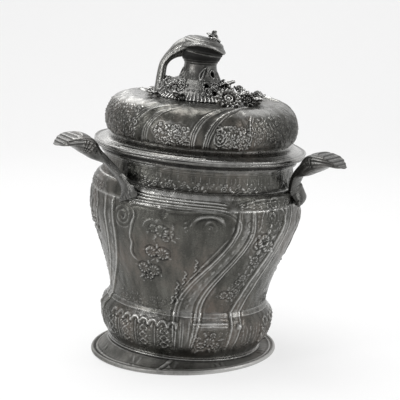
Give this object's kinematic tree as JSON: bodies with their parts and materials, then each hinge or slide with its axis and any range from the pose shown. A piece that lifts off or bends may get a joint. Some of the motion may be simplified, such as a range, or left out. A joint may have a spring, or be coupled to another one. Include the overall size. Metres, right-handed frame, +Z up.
{
  "type": "lidded brazier",
  "caption": "Leaning cast-pewter brazier on a round foot plate, with shell handles, a swirled lift-off lid, a pierced hooded knob with a side loop, and a hanging fire pan with a grate.",
  "frame": {"origin": "centre of the flat underside of the foot plate", "axes": "+Z up, square to the level foot plate; -Y is the front of the picture; +X is the side that the body leans to, by 0.083 rad"},
  "size_m": [0.3143, 0.3001, 0.3652],
  "materials": {
    "dark_pewter": "dark tarnished pewter, softly polished on the high parts",
    "bright_pewter": "pewter rubbed brighter on rims and mouldings",
    "cast_pewter": "cast pewter ornament with dark recesses",
    "sooted_iron": "rough sooted iron"
  },
  "bodies": {
    "vessel": {"foot_plate": "dark_pewter", "foot_collar": "bright_pewter", "belly_bowl": "dark_pewter", "waist_ring": "bright_pewter", "body_wall": "dark_pewter", "shoulder_ring": "bright_pewter", "neck_band": "dark_pewter", "rim_ring": "bright_pewter", "pan_ledge": "sooted_iron", "handle_left": "cast_pewter", "handle_right": "cast_pewter", "handle_back": "cast_pewter"},
    "fire_pan": {"fire_pan": "sooted_iron", "pan_ear_left": "sooted_iron", "pan_rivet_left_1": "sooted_iron", "pan_rivet_left_2": "sooted_iron", "pan_ear_right": "sooted_iron", "pan_rivet_right_1": "sooted_iron", "pan_rivet_right_2": "sooted_iron"},
    "fire_grate": {"fire_grate": "sooted_iron", "grate_foot_1": "sooted_iron", "grate_foot_2": "sooted_iron", "grate_foot_3": "sooted_iron"},
    "lid": {"lid_flange": "bright_pewter", "lid_skirt": "dark_pewter", "lid_dome": "dark_pewter", "knob_base": "cast_pewter", "knob_chimney": "cast_pewter", "knob_hood": "bright_pewter", "knob_loop": "bright_pewter", "knob_finial": "cast_pewter", "spray_right_rose": "cast_pewter", "spray_right_flower": "cast_pewter", "spray_right_leaf_front": "cast_pewter", "spray_right_leaf_middle": "cast_pewter", "spray_right_leaf_top": "cast_pewter", "spray_right_bud_tall": "cast_pewter", "spray_right_bud_end": "cast_pewter", "spray_left_rose": "cast_pewter", "spray_left_leaf_front": "cast_pewter", "spray_left_leaf_side": "cast_pewter", "spray_left_bud": "cast_pewter"}
  },
  "joints": [
    {"name": "lid_lift", "type": "slide", "parent": "vessel", "child": "lid", "axis": [0.0829, 0, 0.9966], "range_m": [0, 0.34]},
    {"name": "pan_lift", "type": "slide", "parent": "vessel", "child": "fire_pan", "axis": [0.0829, 0, 0.9966], "range_m": [0, 0.17]},
    {"name": "grate_lift", "type": "slide", "parent": "fire_pan", "child": "fire_grate", "axis": [0.0829, 0, 0.9966], "range_m": [0, 0.102]}
  ],
  "couplings": [
    {"joint": "pan_lift", "follows": "lid_lift", "ratio": 0.5},
    {"joint": "grate_lift", "follows": "lid_lift", "ratio": 0.3}
  ]
}
